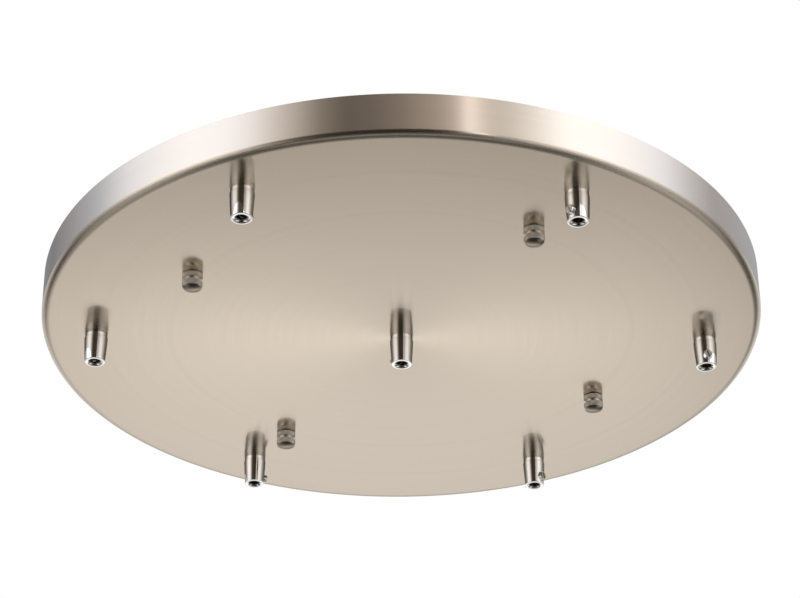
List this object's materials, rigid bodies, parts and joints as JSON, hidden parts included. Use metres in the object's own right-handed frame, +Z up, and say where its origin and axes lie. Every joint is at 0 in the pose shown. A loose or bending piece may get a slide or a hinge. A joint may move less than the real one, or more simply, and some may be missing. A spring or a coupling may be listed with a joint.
{
  "type": "light fixture ceiling canopy",
  "caption": "Round brushed-nickel ceiling canopy pan on a cross bracket, with knurled cap nuts and pendant cord grips with side clamp screws.",
  "frame": {"origin": "centre of the mounting bracket's top face, in the plane of the ceiling", "axes": "+Z up into the ceiling; +X and +Y along the arms of the mounting bracket, so that cap nut 1 is on +X"},
  "size_m": [0.457, 0.457, 0.0466],
  "materials": {
    "satin_nickel": "satin, brushed in circles",
    "polished_nickel": "polished",
    "knurled_nickel": "knurled, satin",
    "zinc_plate": "zinc plated",
    "spring_steel": "dark, oiled",
    "green_screw": "green dyed zinc"
  },
  "bodies": {
    "bracket_body": {"mounting_bracket": "zinc_plate", "ground_screw": "green_screw", "stud_1": "zinc_plate", "stud_2": "zinc_plate", "stud_3": "zinc_plate", "stud_4": "zinc_plate", "stud_nut_1": "zinc_plate", "stud_nut_2": "zinc_plate", "stud_nut_3": "zinc_plate", "stud_nut_4": "zinc_plate"},
    "pan_body": {"canopy_pan": "satin_nickel", "cord_grip_1": "polished_nickel", "cord_grip_2": "polished_nickel", "cord_grip_3": "polished_nickel", "cord_grip_4": "polished_nickel", "cord_grip_5": "polished_nickel", "cord_grip_6": "polished_nickel", "cord_grip_7": "polished_nickel", "lock_washer_1": "spring_steel", "lock_washer_2": "spring_steel", "lock_washer_3": "spring_steel", "lock_washer_4": "spring_steel", "lock_washer_5": "spring_steel", "lock_washer_6": "spring_steel", "lock_washer_7": "spring_steel", "grip_nut_1": "zinc_plate", "grip_nut_2": "zinc_plate", "grip_nut_3": "zinc_plate", "grip_nut_4": "zinc_plate", "grip_nut_5": "zinc_plate", "grip_nut_6": "zinc_plate", "grip_nut_7": "zinc_plate"},
    "cap_nut_1": {"cap_nut_1": "knurled_nickel"},
    "cap_nut_2": {"cap_nut_2": "knurled_nickel"},
    "cap_nut_3": {"cap_nut_3": "knurled_nickel"},
    "cap_nut_4": {"cap_nut_4": "knurled_nickel"},
    "clamp_screw_1": {"clamp_screw_1": "polished_nickel"},
    "clamp_screw_2": {"clamp_screw_2": "polished_nickel"},
    "clamp_screw_3": {"clamp_screw_3": "polished_nickel"},
    "clamp_screw_4": {"clamp_screw_4": "polished_nickel"},
    "clamp_screw_5": {"clamp_screw_5": "polished_nickel"},
    "clamp_screw_6": {"clamp_screw_6": "polished_nickel"},
    "clamp_screw_7": {"clamp_screw_7": "polished_nickel"}
  },
  "joints": [
    {"name": "canopy_drop", "type": "slide", "parent": "bracket_body", "child": "pan_body", "axis": [0, 0, -1], "range_m": [0, 0.0073]},
    {"name": "cap_nut_turn_1", "type": "hinge", "parent": "pan_body", "child": "cap_nut_1", "pos_m": [0.1502, 0, -0.0328], "axis": [0, 0, -1], "range_deg": [0, 3312]},
    {"name": "cap_nut_turn_2", "type": "hinge", "parent": "pan_body", "child": "cap_nut_2", "pos_m": [0, 0.1502, -0.0328], "axis": [0, 0, -1], "range_deg": [0, 3312]},
    {"name": "cap_nut_turn_3", "type": "hinge", "parent": "pan_body", "child": "cap_nut_3", "pos_m": [-0.1502, 0, -0.0328], "axis": [0, 0, -1], "range_deg": [0, 3312]},
    {"name": "cap_nut_turn_4", "type": "hinge", "parent": "pan_body", "child": "cap_nut_4", "pos_m": [0, -0.1502, -0.0328], "axis": [0, 0, -1], "range_deg": [0, 3312]},
    {"name": "clamp_screw_slide_1", "type": "slide", "parent": "pan_body", "child": "clamp_screw_1", "axis": [-0.2756, 0.9613, 0], "range_m": [0, 0.0032]},
    {"name": "clamp_screw_slide_2", "type": "slide", "parent": "pan_body", "child": "clamp_screw_2", "axis": [-0.9781, 0.2079, 0], "range_m": [0, 0.0032]},
    {"name": "clamp_screw_slide_3", "type": "slide", "parent": "pan_body", "child": "clamp_screw_3", "axis": [-0.2079, -0.9781, 0], "range_m": [0, 0.0032]},
    {"name": "clamp_screw_slide_4", "type": "slide", "parent": "pan_body", "child": "clamp_screw_4", "axis": [-0.8829, -0.4695, 0], "range_m": [0, 0.0032]},
    {"name": "clamp_screw_slide_5", "type": "slide", "parent": "pan_body", "child": "clamp_screw_5", "axis": [0.9397, 0.342, 0], "range_m": [0, 0.0032]},
    {"name": "clamp_screw_slide_6", "type": "slide", "parent": "pan_body", "child": "clamp_screw_6", "axis": [0.454, 0.891, 0], "range_m": [0, 0.0032]},
    {"name": "clamp_screw_slide_7", "type": "slide", "parent": "pan_body", "child": "clamp_screw_7", "axis": [0.1392, -0.9903, 0], "range_m": [0, 0.0032]}
  ],
  "couplings": [
    {"joint": "cap_nut_turn_1", "follows": "canopy_drop", "rad_per_m": 7915.8},
    {"joint": "cap_nut_turn_2", "follows": "canopy_drop", "rad_per_m": 7915.8},
    {"joint": "cap_nut_turn_3", "follows": "canopy_drop", "rad_per_m": 7915.8},
    {"joint": "cap_nut_turn_4", "follows": "canopy_drop", "rad_per_m": 7915.8}
  ]
}
